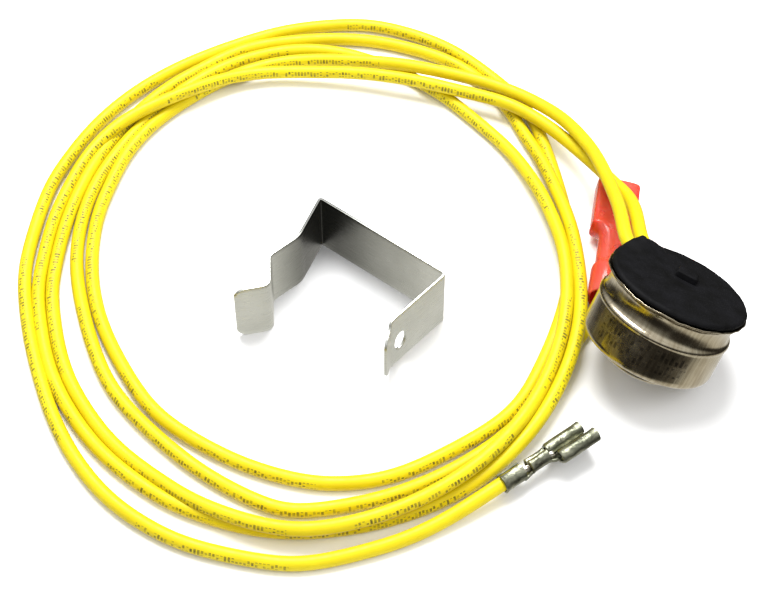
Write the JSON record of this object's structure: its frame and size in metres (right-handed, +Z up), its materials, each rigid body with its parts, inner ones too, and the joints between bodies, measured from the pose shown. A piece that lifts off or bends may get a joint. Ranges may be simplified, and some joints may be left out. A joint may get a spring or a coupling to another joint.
{
  "type": "pipe thermostat with leads and spring clip",
  "caption": "Sealed snap-disc pipe thermostat with leads in a loose coil, crimped push-on terminals and a separate spring clip that holds it on a pipe.",
  "frame": {"origin": "on the surface it lies on, under the middle of the capsule and the spring clip together", "axes": "+Z up from the surface, +X from the spring clip towards the capsule, +Y from the bare terminal towards the insulated terminal"},
  "size_m": [0.1329, 0.1357, 0.0244],
  "materials": {
    "nickel_plate": "bright nickel plate, drawn, with a warm tint",
    "bimetal": "rolled bimetal strip",
    "plated_steel": "zinc plated",
    "ceramic": "unglazed ceramic",
    "phenolic": "moulded phenolic",
    "spring_copper": "rolled spring copper",
    "silver": "coined silver",
    "brass": "stamped brass",
    "fibre": "vulcanised fibre",
    "black_potting": "cast epoxy, satin, slightly uneven",
    "copper_strands": "stranded bare copper",
    "yellow_pvc": "extruded PVC, soft gloss",
    "tinned_brass": "dull tin plate with wear",
    "red_nylon": "translucent moulded nylon",
    "spring_steel": "satin rolled stainless strip"
  },
  "bodies": {
    "thermostat": {"housing_shell": "nickel_plate", "disc_retainer": "plated_steel", "switch_base": "phenolic", "fixed_contact": "silver", "fixed_terminal": "brass", "arm_terminal": "brass", "arm_rivet": "brass", "fixed_rivet": "brass", "insulating_cover": "fibre", "potting_cap": "black_potting", "plain_lead_core": "copper_strands", "printed_lead_core": "copper_strands", "plain_lead_tail": "yellow_pvc", "printed_lead_tail": "yellow_pvc", "bare_end_tail": "yellow_pvc", "red_end_tail": "yellow_pvc", "lead_coil": "yellow_pvc", "bare_receptacle": "tinned_brass", "bare_end_conductor": "copper_strands", "insulator_sleeve": "red_nylon", "insulated_receptacle": "tinned_brass", "insulated_end_conductor": "copper_strands"},
    "actuator": {"bimetal_disc": "bimetal", "transfer_pin": "ceramic"},
    "arm": {"contact_arm": "spring_copper", "moving_contact": "silver"},
    "clip": {"spring_clip": "spring_steel"}
  },
  "joints": [
    {"name": "disc_snap", "type": "slide", "parent": "thermostat", "child": "actuator", "axis": [0.366, 0.3249, 0.8721], "range_m": [0, 0.0004]},
    {"name": "arm_swing", "type": "hinge", "parent": "thermostat", "child": "arm", "pos_m": [0.03377, -0.01486, 0.01039], "axis": [0.7882, 0.3899, -0.4761], "range_deg": [0, 3]},
    {"name": "clip_lift", "type": "slide", "parent": "thermostat", "child": "clip", "axis": [0, 0, 1], "range_m": [0, 0.06]}
  ],
  "couplings": [
    {"joint": "arm_swing", "follows": "disc_snap", "rad_per_m": 126.5}
  ]
}
